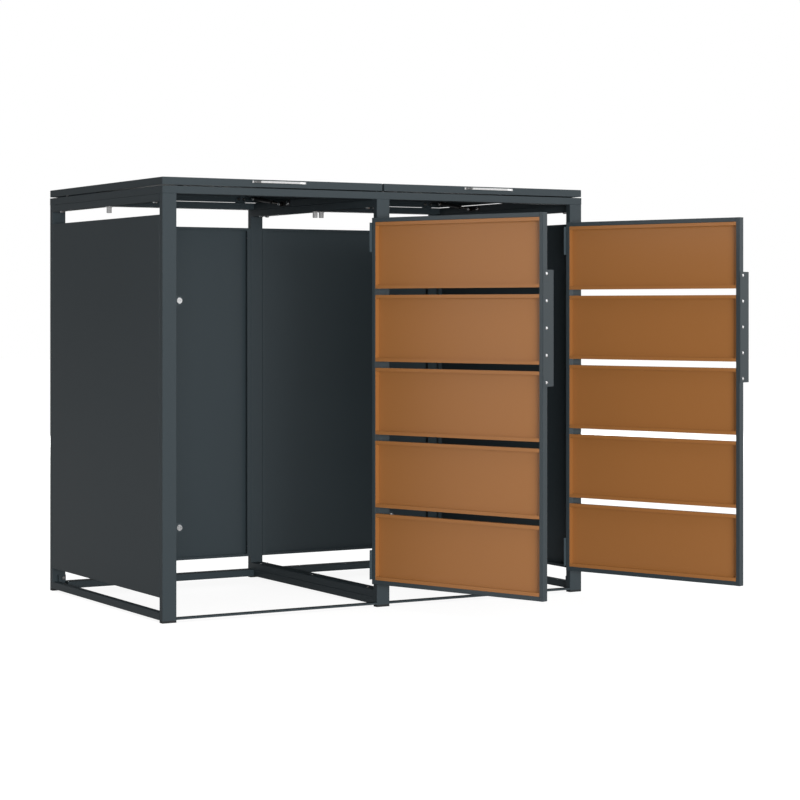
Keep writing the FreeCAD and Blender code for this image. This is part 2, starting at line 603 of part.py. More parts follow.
def make_strut(side, beam_face, lid_edge):
    """Gas strut of one lid, drawn along Y from the rail pivot and then tilted."""
    rail, closed, opened = strut_layout()
    length, slope = reach_of(rail, closed)
    stroke = reach_of(rail, opened)[0] - length
    x = beam_face - STRUT_PLATE - STRUT_SIDE_GAP - STRUT_EYE_WIDTH / 2
    pivot = FreeCAD.Vector(x, STRUT_RAIL_Y, FRAME_TOP - STRUT_RAIL_DROP)

    def tilt(shape):
        """Tilt a shape to the strut's slope and move it to the rail pivot."""
        tilted = shape.copy()
        tilted.rotate(ZERO, X_AXIS, slope)
        tilted.translate(pivot)
        return tilted

    def eye(y):
        """Round eye across the strut, before its hole is cut."""
        base = FreeCAD.Vector(-STRUT_EYE_WIDTH / 2, y, 0)
        return Part.makeCylinder(STRUT_EYE_RADIUS, STRUT_EYE_WIDTH, base, X_AXIS)

    mouth = length - STRUT_TUBE_LENGTH
    rod_length = mouth + stroke + STRUT_ROD_OVERLAP
    rod = eye(0).fuse(Part.makeCylinder(STRUT_ROD_RADIUS, rod_length, ZERO, Y_AXIS))
    piston_base = FreeCAD.Vector(0, rod_length - STRUT_PISTON_HEIGHT, 0)
    piston_radius = STRUT_BORE_RADIUS - PIN_CLEARANCE
    rod = rod.fuse(Part.makeCylinder(piston_radius, STRUT_PISTON_HEIGHT, piston_base, Y_AXIS))
    hole_base = FreeCAD.Vector(-STRUT_EYE_WIDTH, 0, 0)
    hole_radius = STRUT_PIN_RADIUS + PIN_CLEARANCE
    rod = rod.cut(Part.makeCylinder(hole_radius, 2 * STRUT_EYE_WIDTH, hole_base, X_AXIS))
    add("strut_%s_rod" % side, tilt(rod.removeSplitter()))

    mouth_point = FreeCAD.Vector(0, mouth, 0)
    tube_end = length - STRUT_EYE_RADIUS
    body = Part.makeCylinder(STRUT_TUBE_RADIUS, tube_end - mouth, mouth_point, Y_AXIS)
    neck_base = FreeCAD.Vector(0, tube_end, 0)
    neck = Part.makeCylinder(STRUT_NECK_RADIUS, STRUT_EYE_RADIUS, neck_base, Y_AXIS)
    body = body.fuse(neck).fuse(eye(length))
    bore_base = FreeCAD.Vector(0, mouth + STRUT_GLAND, 0)
    bore_length = tube_end - STRUT_END_WALL - mouth - STRUT_GLAND
    body = body.cut(Part.makeCylinder(STRUT_BORE_RADIUS, bore_length, bore_base, Y_AXIS))
    gland_radius = STRUT_ROD_RADIUS + PIN_CLEARANCE
    body = body.cut(Part.makeCylinder(gland_radius, 2 * STRUT_GLAND, mouth_point, Y_AXIS))
    add("strut_%s_cylinder" % side, tilt(body.removeSplitter()))

    plate_x = (beam_face - STRUT_PLATE, beam_face)
    plate_y = (pivot.y - STRUT_PLATE_FRONT, pivot.y + STRUT_PLATE_REAR)
    plate = box(plate_x, plate_y, span((POST_TOP + FRAME_TOP) / 2, STRUT_PLATE_HEIGHT))
    pin_end = x - STRUT_EYE_WIDTH / 2 - STRUT_SIDE_GAP
    pin_base = FreeCAD.Vector(plate_x[0], pivot.y, pivot.z)
    pin = Part.makeCylinder(STRUT_PIN_RADIUS, plate_x[0] - pin_end, pin_base, -X_AXIS)
    head_base = FreeCAD.Vector(pin_end, pivot.y, pivot.z)
    head = button(head_base, -X_AXIS, STRUT_PIN_HEAD_RADIUS, STRUT_PIN_HEAD)
    add("strut_rail_brackets", plate.fuse(pin).fuse(head))
    screw_base = FreeCAD.Vector(plate_x[0], pivot.y - STRUT_SCREW_FRONT, pivot.z)
    screw = button(screw_base, -X_AXIS, BOLT_HEAD_RADIUS, BOLT_HEAD_HEIGHT)
    add("strut_rail_brackets", screw)

    lid_z = LID_BOTTOM + STRUT_LID_RISE
    stud_start = x + STRUT_TUBE_RADIUS + STRUT_SIDE_GAP
    ear_x = (stud_start + LID_PIN_LENGTH, stud_start + LID_PIN_LENGTH + STRUT_PLATE)
    under_lid = TOP - LID_SHEET
    ear_y = span(STRUT_LID_Y, LID_EAR_WIDTH)
    ear = box(ear_x, ear_y, (lid_z - LID_EAR_DROP, under_lid))
    foot_end = min(ear_x[0] + LID_EAR_FOOT, lid_edge - LID_SHEET)
    foot = box((ear_x[0], foot_end), ear_y, (under_lid - STRUT_PLATE, under_lid))
    stud_base = FreeCAD.Vector(stud_start, STRUT_LID_Y, lid_z)
    stud = Part.makeCylinder(STRUT_PIN_RADIUS, LID_PIN_LENGTH, stud_base, X_AXIS)
    add("lid_%s_strut_stud" % side, ear.fuse(foot).fuse(stud).removeSplitter())


make_posts()
make_top_frame()
make_bottom_frame()
make_panels()
make_fasteners()
for side, posts, lid_ends, beam_face in BAYS:
    make_catches(posts[0])
    make_door(side, posts[1])
    make_lid(side, lid_ends)
    make_strut(side, beam_face, lid_ends[1])

rail, closed, opened = strut_layout()
closed_length, closed_slope = reach_of(rail, closed)
open_length, open_slope = reach_of(rail, opened)
print("strut length closed %.2f, open %.2f" % (closed_length, open_length))
print("strut slope closed %.3f, open %.3f" % (closed_slope, open_slope))

os.makedirs("parts", exist_ok=True)
for name, solids in nodes.items():
    shape = solids[0] if len(solids) == 1 else Part.makeCompound(solids)
    shape.exportStep("parts/%s.step" % name)
print("%d nodes, %d solids" % (len(nodes), sum(len(solids) for solids in nodes.values())))
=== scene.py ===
# %% [markdown]
# This store for two wheelie bins is almost all powder-coated steel: square tubes,
# folded sheets, and brown trays set into the doors. Its construction is already
# modelled at real size, so this lesson loads it and gives every surface its finish.
# The small turned pieces, which are too fine for the construction, are modelled here.
# They could be placed by eye, but they take their places from the plain heads of the
# construction, so that they stay on them when a size changes.

# %% Load the construction
import json
import math
import bmesh
import bpy
import numpy
from mathutils import Matrix, Vector


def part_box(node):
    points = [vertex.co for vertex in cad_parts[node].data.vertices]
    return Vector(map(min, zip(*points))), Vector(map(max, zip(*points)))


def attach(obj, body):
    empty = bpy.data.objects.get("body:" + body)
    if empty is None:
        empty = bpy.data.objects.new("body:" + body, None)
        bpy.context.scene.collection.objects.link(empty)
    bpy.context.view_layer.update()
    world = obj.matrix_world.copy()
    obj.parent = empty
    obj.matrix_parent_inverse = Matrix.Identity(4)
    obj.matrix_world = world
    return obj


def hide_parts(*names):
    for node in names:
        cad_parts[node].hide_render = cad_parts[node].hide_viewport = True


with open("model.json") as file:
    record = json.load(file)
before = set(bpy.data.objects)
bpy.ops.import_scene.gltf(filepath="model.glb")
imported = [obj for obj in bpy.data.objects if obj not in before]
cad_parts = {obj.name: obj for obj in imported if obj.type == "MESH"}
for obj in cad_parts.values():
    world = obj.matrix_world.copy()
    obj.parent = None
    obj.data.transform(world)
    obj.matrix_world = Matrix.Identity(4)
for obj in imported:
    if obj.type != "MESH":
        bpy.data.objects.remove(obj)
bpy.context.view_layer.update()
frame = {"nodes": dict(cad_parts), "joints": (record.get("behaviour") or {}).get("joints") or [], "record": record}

# %% [markdown]
# The picture was taken with a long lens, held level. A camera could simply be tilted
# down at the store, but then its upright edges would lean together. A level camera
# keeps them upright, and shifting the lens down brings the feet into view instead. The
# focal length is given in pixels of the picture, because that is how it was found, and
# the lens in millimetres follows from it.

# %% Camera
PHOTO_SIDE = 800.0
FOCAL_PIXELS = 2219.2
HORIZON_PIXELS = 308.8
SENSOR_WIDTH = 36.0
CAMERA_PLACE = (-3.0138, -5.2961, 0.8167)
CAMERA_TURN = math.radians(-30.12)

camera_data = bpy.data.cameras.new("camera")
camera_data.sensor_width = SENSOR_WIDTH
camera_data.lens = SENSOR_WIDTH * FOCAL_PIXELS / PHOTO_SIDE
camera_data.shift_y = (HORIZON_PIXELS - PHOTO_SIDE / 2) / PHOTO_SIDE
camera = bpy.data.objects.new("camera", camera_data)
camera.location = CAMERA_PLACE
camera.rotation_euler = (math.pi / 2, 0, CAMERA_TURN)
bpy.context.scene.collection.objects.link(camera)
bpy.context.scene.camera = camera
bpy.context.scene.view_settings.view_transform = "Standard"
print("lens %.1f mm, shift %.3f" % (camera_data.lens, camera_data.shift_y))

# %% [markdown]
# A finish is a graph of nodes. The nodes could be added and linked one by one, but
# shader maths is easier to read as arithmetic. The class Wire holds one output of a
# node, and its operators add the Math nodes. The class Graph adds any other node to a
# tree, and Finish is the graph of one material. A Mix node has its sockets once for
# each kind of value, so the ones for colours are told by their numbers.

# %% Shader helpers
MIX_FROM = 6
MIX_TO = 7
MIX_COLOUR = 2


class Wire:
    """One output of a node, which can be added, multiplied and so on."""

    def __init__(self, graph, socket):
        self.graph = graph
        self.socket = socket

    def maths(self, operation, first, second):
        return self.graph.node("Math", {"operation": operation}, {0: first, 1: second})

    def __add__(self, other):
        return self.maths("ADD", self, other)

    def __sub__(self, other):
        return self.maths("SUBTRACT", self, other)

    def __rsub__(self, other):
        return self.maths("SUBTRACT", other, self)

    def __mul__(self, other):
        return self.maths("MULTIPLY", self, other)

    def __pow__(self, other):
        return self.maths("POWER", self, other)

    def __rpow__(self, other):
        return self.maths("POWER", other, self)

    def at_least(self, other):
        return self.maths("MAXIMUM", self, other)

    __radd__ = __add__
    __rmul__ = __mul__


class Graph:
    """A tree of nodes."""

    def __init__(self, tree):
        self.tree = tree

    def node(self, kind, settings=None, inputs=None, output=0):
        """Add a node, give it its settings first and then its inputs, and hand back one output."""
        made = self.tree.nodes.new("ShaderNode" + kind)
        for name, value in (settings or {}).items():
            setattr(made, name, value)
        for key, value in (inputs or {}).items():
            self.feed(made.inputs[key], value)
        return Wire(self, made.outputs[output])

    def feed(self, socket, value):
        """Link a wire to a socket, or set the socket to a plain value."""
        if isinstance(value, Wire):
            self.tree.links.new(value.socket, socket)
        else:
            socket.default_value = value

    def seen_or_lit(self, lit, seen):
        """One shader for what the camera sees, and another for the light that it sends out."""
        camera_ray = self.node("LightPath", output="Is Camera Ray")
        return self.node("MixShader", {}, {0: camera_ray, 1: lit, 2: seen})


class Finish(Graph):
    """A material, with its Principled shader."""

    def __init__(self, name, **constants):
        self.material = bpy.data.materials.new(name)
        self.material.use_nodes = True
        super().__init__(self.material.node_tree)
        self.shader = self.tree.nodes["Principled BSDF"]
        self.place = self.node("TexCoord", output="Object")
        self.give(**constants)

    def give(self, **values):
        """Feed the shader's own sockets."""
        for socket, value in values.items():
            self.feed(self.shader.inputs[socket.replace("_", " ")], value)

    def noise(self, per_metre, detail, stretch=(1.0, 1.0, 1.0)):
        """Smooth noise from 0 to 1, with so many cells to a metre."""
        scale = tuple(per_metre * share for share in stretch)
        point = self.node("VectorMath", {"operation": "MULTIPLY"}, {0: self.place, 1: scale})
        return self.node("TexNoise", {}, {"Vector": point, "Scale": 1.0, "Detail": detail})

    def between(self, share, low, high):
        """Colour that runs from low to high as share goes from 0 to 1."""
        colours = {"Factor": share, MIX_FROM: (*low, 1.0), MIX_TO: (*high, 1.0)}
        return self.node("Mix", {"data_type": "RGBA"}, colours, output=MIX_COLOUR)

    def bump(self, height, depth, **under):
        """Surface normal of a height wire, whose full range is so deep in metres."""
        inputs = {"Height": height, "Distance": depth, "Strength": 1.0, **under}
        return self.node("Bump", {}, inputs)


# %% [markdown]
# Powder coat is melted plastic dust. Close up it has a fine pebbled skin, and over a
# large sheet its gloss and tone drift a little. Sheets are never quite flat either. A
# picture of such a paint could be wrapped around each piece, but it would show seams
# and repeat. Noise in the object's own space has neither: a fine one drives the bump
# and some of the gloss, a broad one the colour and the rest, and a very long, very
# shallow wave bends the sheets. The hinges are coated a little lighter and glossier.

# %% Powder coat
NOISE_MIDDLE = 0.5
PEBBLES_PER_METRE = 900.0
PEBBLE_DEPTH = 0.00002
PEBBLE_SHINE = 0.06
DRIFT_PER_METRE = 2.5
DRIFT_SHINE = 0.08
ANTHRACITE = (0.0245, 0.0335, 0.0385)
HINGE_LIGHTER = 1.8
TRAY_BROWN = (0.252, 0.103, 0.029)
BLACK = (0.010, 0.010, 0.011)
FINISHES = {}


def scaled(colour, share):
    """The same colour, darker or lighter."""
    return tuple(part * share for part in colour)


def powder_coat(name, colour, roughness=0.45, drift=0.06, wave_depth=0.0):
    """Paint whose tone drifts by a share of its colour."""
    finish = Finish(name)
    broad = finish.noise(DRIFT_PER_METRE, detail=3.0)
    pebbles = finish.noise(PEBBLES_PER_METRE, detail=1.0)
    finish.give(Base_Color=finish.between(broad, scaled(colour, 1 - drift), scaled(colour, 1 + drift)))
    drifting = (broad - NOISE_MIDDLE) * DRIFT_SHINE
    finish.give(Roughness=drifting + (pebbles - NOISE_MIDDLE) * PEBBLE_SHINE + roughness)
    skin = finish.bump(pebbles, PEBBLE_DEPTH)
    if wave_depth:
        wave = finish.noise(DRIFT_PER_METRE, detail=0.0)
        skin = finish.bump(wave, wave_depth, Normal=skin)
    finish.give(Normal=skin)
    FINISHES[name] = finish.material


powder_coat("frame_paint", ANTHRACITE)
powder_coat("door_paint", ANTHRACITE)
powder_coat("panel_paint", ANTHRACITE, drift=0.08, wave_depth=0.002)
powder_coat("lid_paint", ANTHRACITE, drift=0.08, wave_depth=0.001)
powder_coat("hinge_paint", scaled(ANTHRACITE, HINGE_LIGHTER), roughness=0.36, drift=0.05)
powder_coat("tray_paint", TRAY_BROWN, drift=0.05, wave_depth=0.001)
powder_coat("strut_black", BLACK, roughness=0.35, drift=0.05)
print("powder coats:", len(FINISHES))

# %% [markdown]
# The grips are brushed along their length. Rivets, magnets and bolts are plated, with a
# soft gloss. The rods of the struts are chrome, given a dark brownish colour that is a
# painted reflection of the dark inside of the store. The scratches and grains could be
# modelled, but they are far thinner than a pixel, so a noise is enough. It drives the
# colour, the roughness and a tiny bump, and for the grips it is stretched along X until
# it looks like fine scratches.

# %% Bare and plated metal
GRAINS_PER_METRE = 600.0
GRAIN_SHINE = 0.14
GRAIN_DEPTH = 0.000008
GRAIN_SHADE = 0.9
SCRATCHES_PER_METRE = 4000.0
SCRATCH_STRETCH = (0.004, 1.0, 1.0)


def metal(name, colour, roughness, per_metre=GRAINS_PER_METRE, stretch=(1.0, 1.0, 1.0)):
    """Metal with a grain that darkens, dulls and roughens it."""
    finish = Finish(name, Metallic=1.0)
    grain = finish.noise(per_metre, detail=2.0, stretch=stretch)
    finish.give(Base_Color=finish.between(grain, scaled(colour, GRAIN_SHADE), colour))
    finish.give(Roughness=(grain - NOISE_MIDDLE) * GRAIN_SHINE + roughness)
    finish.give(Normal=finish.bump(grain, GRAIN_DEPTH))
    FINISHES[name] = finish.material


metal("stainless", (0.80, 0.80, 0.80), 0.28, SCRATCHES_PER_METRE, SCRATCH_STRETCH)
metal("rivet_metal", (0.96, 0.96, 0.97), 0.24)
metal("magnet_metal", (0.84, 0.85, 0.86), 0.26)
metal("bolt_metal", (0.42, 0.43, 0.44), 0.35)
metal("bracket_zinc", (0.60, 0.61, 0.62), 0.33)
# painted reflection: the chrome of the strut rods is coloured dark brown, as the dark inside of the store looks in
# it
metal("strut_chrome", (0.16, 0.14, 0.13), 0.22)
print("finishes with the metals:", len(FINISHES))

# %% [markdown]
# Moulded plastic has a fine spark-eroded grain from its mould, and rubber a coarser,
# duller one. They could be one plain colour each, but without the grain they would
# catch the light like glass. Neither is metal, so the colour is in the diffuse part.

# %% Plastic and rubber
MOULD_DRIFT = 0.1
MOULD_SHINE = 0.1


def moulded(name, colour, roughness, per_metre, depth):
    """Plastic or rubber with the grain of its mould."""
    finish = Finish(name)
    grain = finish.noise(per_metre, detail=2.0)
    darkest = scaled(colour, 1 - MOULD_DRIFT)
    lightest = scaled(colour, 1 + MOULD_DRIFT)
    finish.give(Base_Color=finish.between(grain, darkest, lightest))
    finish.give(Roughness=(grain - NOISE_MIDDLE) * MOULD_SHINE + roughness)
    finish.give(Normal=finish.bump(grain, depth))
    FINISHES[name] = finish.material


moulded("foot_plastic", (0.016, 0.018, 0.019), roughness=0.5, per_metre=1500.0, depth=0.00003)
moulded("sleeve_plastic", (0.26, 0.26, 0.26), roughness=0.45, per_metre=1500.0, depth=0.00002)
moulded("buffer_rubber", (0.012, 0.012, 0.012), roughness=0.75, per_metre=2500.0, depth=0.00005)
print("finishes with plastic and rubber:", len(FINISHES))

# %% [markdown]
# On the real store the tubes, sheets and trays are coated before they are bolted
# together, so each piece has one finish all over. Faces could be picked by hand, but
# the construction names a finish for each of its pieces, and a loop hands them out.

# %% Paint the construction
for part in frame["record"]["subparts"]:
    node = frame["nodes"][part["node"]]
    for coat in node.material_slots:
        coat.material = FINISHES[part["material_slot"]]
print("painted nodes:", len(frame["nodes"]))

# %% [markdown]
# Screws, rivets, nuts and magnets are all turned on a lathe. They could be cut out of
# cylinders with Booleans, but one helper makes them all with cleaner faces: it takes a
# profile, as rings of a radius and a height, and skins them. A ring can be a hexagon
# instead of a circle, which is how a socket or a nut gets its flats.

# %% Turning
STEPS = 24
DOME_STEPS = 5
HEXAGON = 6
WELD = 1e-7
CREASE = math.radians(28)
TO_FRONT = Vector((0, -1, 0))
TO_LEFT = Vector((-1, 0, 0))
TO_RIGHT = Vector((1, 0, 0))
UP = Vector((0, 0, 1))
DOWN = Vector((0, 0, -1))


def ring_points(radius, height, corners=0):
    """Points of a ring about Z. A ring with corners has its radius to the flats."""
    points = []
    for step in range(STEPS):
        angle = 2 * math.pi * step / STEPS
        reach = radius
        if corners:
            half_side = math.pi / corners
            reach = radius / math.cos(angle % (2 * half_side) - half_side)
        points.append((reach * math.cos(angle), reach * math.sin(angle), height))
    return points


def turned(*rings):
    """Mesh skinned over rings about Z. Each is a radius, a height and any corners."""
    shape = bmesh.new()
    before = []
    for ring in rings:
        corners = [shape.verts.new(point) for point in ring_points(*ring)]
        for step in range(len(before)):
            after = (step + 1) % STEPS
            shape.faces.new((before[step], before[after], corners[after], corners[step]))
        before = corners
    bmesh.ops.remove_doubles(shape, verts=shape.verts, dist=WELD)
    bmesh.ops.recalc_face_normals(shape, faces=shape.faces)
    mesh = bpy.data.meshes.new("turned")
    shape.to_mesh(mesh)
    shape.free()
    return mesh


def dome(radius, rim, top_radius, top):
    """Rings of a quarter ellipse, from a rim up to a top."""
    rings = []
    for step in range(DOME_STEPS + 1):
        angle = math.pi / 2 * step / DOME_STEPS
        across = top_radius + (radius - top_radius) * math.cos(angle)
        rings.append((across, rim + (top - rim) * math.sin(angle)))
    return rings


def seated(name, slot, body, seats):
    """One piece of turned shapes, each moved to its foot and stood along its direction."""
    whole = bmesh.new()
    for shape, foot, outward in seats:
        turn = outward.to_track_quat("Z", "X").to_matrix().to_4x4()
        copy = shape.copy()
        copy.transform(Matrix.Translation(foot) @ turn)
        whole.from_mesh(copy)
        bpy.data.meshes.remove(copy)
    mesh = bpy.data.meshes.new(name)
    whole.to_mesh(mesh)
    whole.free()
    mesh.shade_smooth()
    mesh.set_sharp_from_angle(angle=CREASE)
    mesh.materials.append(FINISHES[slot])
    made = bpy.data.objects.new(name, mesh)
    bpy.context.scene.collection.objects.link(made)
    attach(made, body)
    print(name, "on", body, "has", len(seats))
    return made


# %% [markdown]
# The construction already holds a plain head for every fastener, so the detailed ones
# take their places from it. The places could be copied out by hand, but reading them
# off the meshes keeps them right. The solids of a node are told apart by walking along
# their edges. A turned solid spreads alike in the two directions across its axis, so of
# the three main directions of its points, the odd one out is the axis.

# %% Finding the plain heads
TOUCH = 1e-5


def solids_of(name):
    """The separate solids of a node, each as an array of its corners."""
    whole = bmesh.new()
    whole.from_mesh(frame["nodes"][name].data)
    bmesh.ops.remove_doubles(whole, verts=whole.verts, dist=WELD)
    seen = set()
    solids = []
    for start in whole.verts:
        waiting = [] if start in seen else [start]
        seen.add(start)
        corners = []
        while waiting:
            corner = waiting.pop()
            corners.append(tuple(corner.co))
            for edge in corner.link_edges:
                other = edge.other_vert(corner)
                if other not in seen:
                    seen.add(other)
                    waiting.append(other)
        if corners:
            solids.append(numpy.array(corners))
    whole.free()
    return solids


def turned_seat(corners, towards=None):
    """Foot, outward direction, radius and height of a turned solid.

    Outward is the side that faces a direction, or else the narrower end.
    """
    middle = corners.mean(axis=0)
    spreads, directions = numpy.linalg.eigh(numpy.cov(corners.T))
    odd = 0 if spreads[1] - spreads[0] > spreads[2] - spreads[1] else 2
    axis = directions[:, odd]
    heights = (corners - middle) @ axis
    across = numpy.linalg.norm(corners - middle - numpy.outer(heights, axis), axis=1)
    if towards is None:
        low_width = across[heights < heights.min() + TOUCH].max()
        high_width = across[heights > heights.max() - TOUCH].max()
        flip = low_width < high_width
    else:
        flip = axis @ numpy.array(towards) < 0
    if flip:
        axis = -axis
        heights = -heights
    foot = middle + axis * heights.min()
    return Vector(foot), Vector(axis), float(across.max()), float(heights.max() - heights.min())


# %% [markdown]
# The frame is bolted with button screws. A button screw has a low domed head, and a
# hexagon socket that goes half way down into it. The socket could be painted on as a
# dark spot, but as a ring of the profile it costs little and shades by itself.

# %% Button screws of the frame
BUTTON_RIM_SHARE = 0.4
BUTTON_FLAT_SHARE = 0.52
SOCKET_SHARE = 0.34
SOCKET_DEPTH_SHARE = 0.55


def button_head(radius, height):
    """Domed head with a hexagon socket, standing on z = 0."""
    socket = radius * SOCKET_SHARE
    floor = height * (1 - SOCKET_DEPTH_SHARE)
    top = dome(radius, height * BUTTON_RIM_SHARE, radius * BUTTON_FLAT_SHARE, height)
    recess = [(socket, height, HEXAGON), (socket, floor, HEXAGON), (0, floor)]
    return turned((0, 0), (radius, 0), *top, *recess)


screw_seats = []
for corners in solids_of("frame_bolts"):
    foot, outward, radius, height = turned_seat(corners)
    screw_seats.append((button_head(radius, height), foot, outward))
screws = seated("frame_button_screws", "bracket_zinc", "frame", screw_seats)
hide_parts("frame_bolts")

# %% [markdown]
# The pull strips are held by blind rivets. Such a rivet is set from the outside: its
# pin is pulled through the shank until it snaps, which leaves a small crater in the
# domed head. The head alone would do for the picture, but this piece stands for the
# whole rivet, so its shank goes through the strip and the wall of the door's edge.

# %% Blind rivets of the pull strips
RIVET_HEAD_RADIUS = 0.0046
RIVET_HEAD_HEIGHT = 0.0018
RIVET_RADIUS = 0.002
RIVET_RIM_SHARE = 0.3
RIVET_FLAT_RADIUS = 0.0028
CRATER_RADIUS = 0.001
CRATER_FLOOR_RADIUS = 0.0008
CRATER_DEPTH = 0.0006


def rivet(length):
    """Rivet whose shank starts at z = 0 and whose head ends at its length."""
    seat = length - RIVET_HEAD_HEIGHT
    rim = seat + RIVET_HEAD_HEIGHT * RIVET_RIM_SHARE
    floor = length - CRATER_DEPTH
    shank = [(0, 0), (RIVET_RADIUS, 0), (RIVET_RADIUS, seat), (RIVET_HEAD_RADIUS, seat)]
    head = dome(RIVET_HEAD_RADIUS, rim, RIVET_FLAT_RADIUS, length)
    crater = [(CRATER_RADIUS, length), (CRATER_FLOOR_RADIUS, floor), (0, floor)]
    return turned(*shank, *head, *crater)


for side in ("left", "right"):
    rivet_seats = []
    for corners in solids_of("door_%s_rivets" % side):
        foot, outward, radius, length = turned_seat(corners, TO_FRONT)
        rivet_seats.append((rivet(length), foot, outward))
    rivets = seated("door_%s_blind_rivets" % side, "rivet_metal", "door_" + side, rivet_seats)
    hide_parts("door_%s_rivets" % side)

# %% [markdown]
# Each door is caught by two pot magnets. A pot magnet is a steel cup around a magnet
# ring, with a thin groove between them, and it is held by a countersunk screw. Cup,
# ring and screw could be three pieces, but they never come apart and share one axis,
# so one profile draws the groove and the sunk screw as well.

# %% Pot magnets
CUP_WALL = 0.0011
GROOVE = 0.0004
GROOVE_DEPTH = 0.0006
MAGNET_CHAMFER = 0.0004
SINK_RADIUS = 0.0034
SINK_DEPTH = 0.0006
MAGNET_SOCKET = 0.0013
MAGNET_SOCKET_DEPTH = 0.0016


def pot_magnet(radius, height):
    """Cup, magnet ring and screw, with its back at z = 0."""
    ring = radius - CUP_WALL
    groove = height - GROOVE_DEPTH
    sink = height - SINK_DEPTH
    socket = height - MAGNET_SOCKET_DEPTH
    cup = [(0, 0), (radius, 0), (radius, height - MAGNET_CHAMFER), (radius - MAGNET_CHAMFER, height)]
    cup += [(ring, height), (ring, groove)]
    face = [(ring - GROOVE, groove), (ring - GROOVE, height), (SINK_RADIUS, height)]
    screw = [(SINK_RADIUS - SINK_DEPTH, sink), (MAGNET_SOCKET, sink, HEXAGON)]
    screw += [(MAGNET_SOCKET, socket, HEXAGON), (0, socket)]
    return turned(*cup, *face, *screw)


magnet_seats = []
for corners in solids_of("catch_magnets"):
    foot, outward, radius, height = turned_seat(corners, TO_FRONT)
    magnet_seats.append((pot_magnet(radius, height), foot, outward))
magnets = seated("catch_pot_magnets", "magnet_metal", "frame", magnet_seats)
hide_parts("catch_magnets")

# %% [markdown]
# The grey sleeve nuts under the top rails are plastic. Each has a flange against the
# rail, a chamfered end, and a hexagon hole for the key that tightens it. They hang in
# plain sight under the lids, so they get real edges instead of a bump.

# %% Sleeve nuts
SLEEVE_FLANGE = 0.002
SLEEVE_RADIUS = 0.007
SLEEVE_CHAMFER = 0.0006
KEY_RADIUS = 0.003
KEY_DEPTH = 0.006


def sleeve_nut(flange, length):
    """Flanged sleeve whose flange is at z = 0."""
    edge = flange - SLEEVE_CHAMFER
    floor = length - KEY_DEPTH
    body = [(0, 0), (flange, 0), (flange, SLEEVE_FLANGE - SLEEVE_CHAMFER), (edge, SLEEVE_FLANGE)]
    body += [(SLEEVE_RADIUS, SLEEVE_FLANGE), (SLEEVE_RADIUS, length - SLEEVE_CHAMFER)]
    end = [(SLEEVE_RADIUS - SLEEVE_CHAMFER, length), (KEY_RADIUS, length, HEXAGON)]
    return turned(*body, *end, (KEY_RADIUS, floor, HEXAGON), (0, floor))


sleeve_seats = []
for corners in solids_of("sleeve_nuts"):
    foot, outward, radius, length = turned_seat(corners, DOWN)
    sleeve_seats.append((sleeve_nut(radius, length), foot, outward))
sleeves = seated("rail_sleeve_nuts", "sleeve_plastic", "frame", sleeve_seats)
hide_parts("sleeve_nuts")

# %% [markdown]
# The lids close on rubber buffers. Each is a low button, rounded at its rim, with the
# dimple of the pin that holds it in the beam. It is turned like the screws, because a
# plain disc would look like a coin where the lid lifts off it.

# %% Buffers
BUFFER_RIM_SHARE = 0.35
BUFFER_TOP_SHARE = 0.7
DIMPLE_SHARE = 0.25
DIMPLE_TAPER = 0.8
DIMPLE_DEPTH_SHARE = 0.4


def buffer(radius, height):
    """Rubber button on z = 0."""
    top = dome(radius, height * BUFFER_RIM_SHARE, radius * BUFFER_TOP_SHARE, height)
    dimple = radius * DIMPLE_SHARE
    floor = height * (1 - DIMPLE_DEPTH_SHARE)
    return turned((0, 0), (radius, 0), *top, (dimple, height), (dimple * DIMPLE_TAPER, floor), (0, floor))


buffer_seats = []
for corners in solids_of("lid_buffers"):
    foot, outward, radius, height = turned_seat(corners, UP)
    buffer_seats.append((buffer(radius, height), foot, outward))
buffers = seated("lid_rubber_buffers", "buffer_rubber", "frame", buffer_seats)
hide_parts("lid_buffers")

# %% [markdown]
# The lids' hinges are bolted through the folded sheet. Inside sit domed cap nuts, which
# hide the ends of the threads, and outside are the low heads of the bolts. The plain
# nuts of the construction could be replaced, but a cap nut is taller than they are, so
# it covers them and they stay. The frame's leaves have the same heads, as far below the
# hinge pin as the others are above it.

# %% Cap nuts and bolts of the lid hinges
SMALL_SOLID = 0.012
CAP_NUT_RADIUS = 0.005
CAP_NUT_HEX_HEIGHT = 0.004
CAP_NUT_DOME_RADIUS = 0.0044
CAP_NUT_HEIGHT = 0.0078
LID_SHEET = 0.0015
HINGE_PLATE = 0.002
LOW_HEAD_RADIUS = 0.004
LOW_HEAD_HEIGHT = 0.0022
JOINTS = {joint["name"]: joint for joint in frame["joints"]}


def cap_nut():
    """Hexagon nut with a domed cap, on z = 0."""
    flats = [(0, 0), (CAP_NUT_RADIUS, 0, HEXAGON), (CAP_NUT_RADIUS, CAP_NUT_HEX_HEIGHT, HEXAGON)]
    return turned(*flats, *dome(CAP_NUT_DOME_RADIUS, CAP_NUT_HEX_HEIGHT, 0, CAP_NUT_HEIGHT))


low_head = button_head(LOW_HEAD_RADIUS, LOW_HEAD_HEIGHT)
frame_leaf_heads = []
for side in ("left", "right"):
    nuts = []
    heads = []
    pin_height = JOINTS["lid_%s_hinge" % side]["pos_m"][2]
    for corners in solids_of("lid_%s_hinge_leaves" % side):
        if numpy.ptp(corners, axis=0).max() > SMALL_SOLID:
            continue
        foot, inward, radius, height = turned_seat(corners, TO_FRONT)
        nuts.append((cap_nut(), foot, inward))
        outside = foot - inward * (LID_SHEET + HINGE_PLATE)
        heads.append((low_head, outside, -inward))
        below = Vector((outside.x, outside.y, 2 * pin_height - outside.z))
        frame_leaf_heads.append((low_head, below, -inward))
    seated("lid_%s_cap_nuts" % side, "bracket_zinc", "lid_" + side, nuts)
    seated("lid_%s_hinge_bolts" % side, "hinge_paint", "lid_" + side, heads)
seated("lid_hinge_frame_bolts", "hinge_paint", "frame", frame_leaf_heads)

